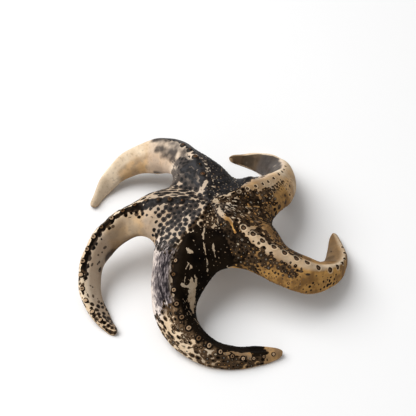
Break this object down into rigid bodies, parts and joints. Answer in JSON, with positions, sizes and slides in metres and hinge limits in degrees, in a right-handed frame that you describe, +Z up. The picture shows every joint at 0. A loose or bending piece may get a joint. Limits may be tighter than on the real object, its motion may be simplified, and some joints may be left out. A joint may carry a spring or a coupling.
{
  "type": "dried starfish",
  "caption": "Dried starfish with an arched disc and tapering arms that all curl the same way, with rows of knobs or pits on top, standing on its arm ends.",
  "frame": {"origin": "on the resting surface, under the middle of the outline seen from above", "axes": "+Z up from the resting surface, +X to the right and +Y away in the picture's view, with -Y towards the camera"},
  "size_m": [0.1064, 0.1148, 0.0313],
  "materials": {
    "dried_skin": "dry satin hide, cream to tan with black patches, dots and rings"
  },
  "bodies": {
    "root": {"starfish": "dried_skin"}
  },
  "joints": []
}
